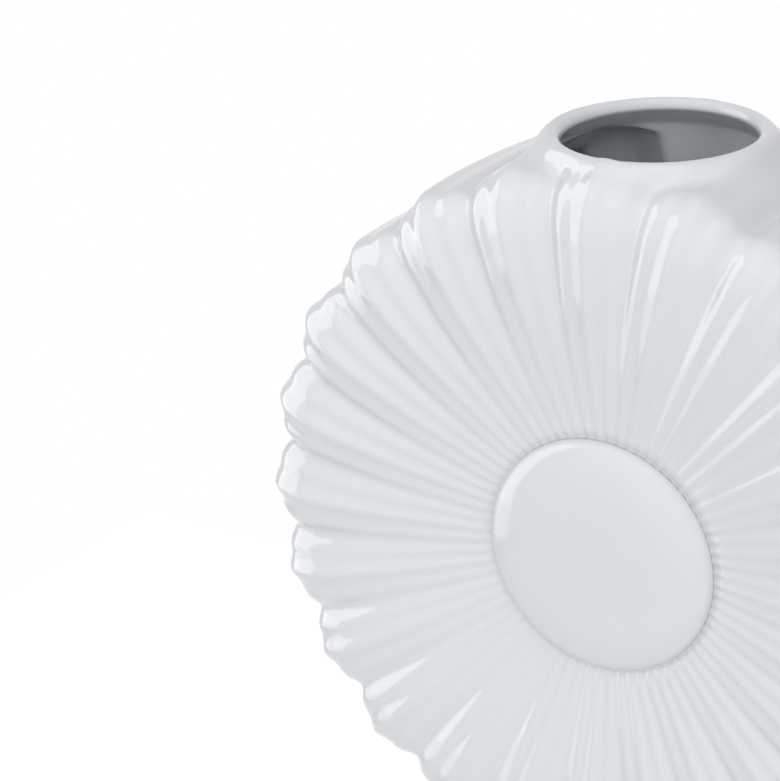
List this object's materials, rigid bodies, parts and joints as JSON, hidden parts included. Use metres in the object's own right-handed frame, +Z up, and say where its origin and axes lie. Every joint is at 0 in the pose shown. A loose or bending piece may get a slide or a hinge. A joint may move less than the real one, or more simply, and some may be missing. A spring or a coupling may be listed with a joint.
{
  "type": "hanging wall vase",
  "caption": "Round porcelain wall vase shaped as a fluted flower with a smooth centre boss and an open mouth on top, hung by a keyhole in its flat back on a wall screw.",
  "frame": {"origin": "where the wall screw's axis meets the wall's surface, which is the plane of the pads' outer faces", "axes": "+X to the right seen from the front, +Y into the wall, +Z up"},
  "size_m": [0.1612, 0.0933, 0.1622],
  "materials": {
    "porcelain": "clear glossy glaze over white porcelain, slightly cool",
    "pad": "soft matt elastomer",
    "screw": "bright zinc-plated steel",
    "plug": "matt grey nylon"
  },
  "bodies": {
    "wall_fixing": {"wall_plug": "plug", "wall_screw": "screw"},
    "vase": {"flower_body": "porcelain", "neck_collar": "porcelain", "centre_boss": "porcelain", "back_wall": "porcelain", "hanger_pocket": "porcelain", "wall_pads": "pad"}
  },
  "joints": [
    {"name": "lift_off", "type": "slide", "parent": "wall_fixing", "child": "vase", "axis": [0, 0, 1], "range_m": [0, 0.009]}
  ]
}
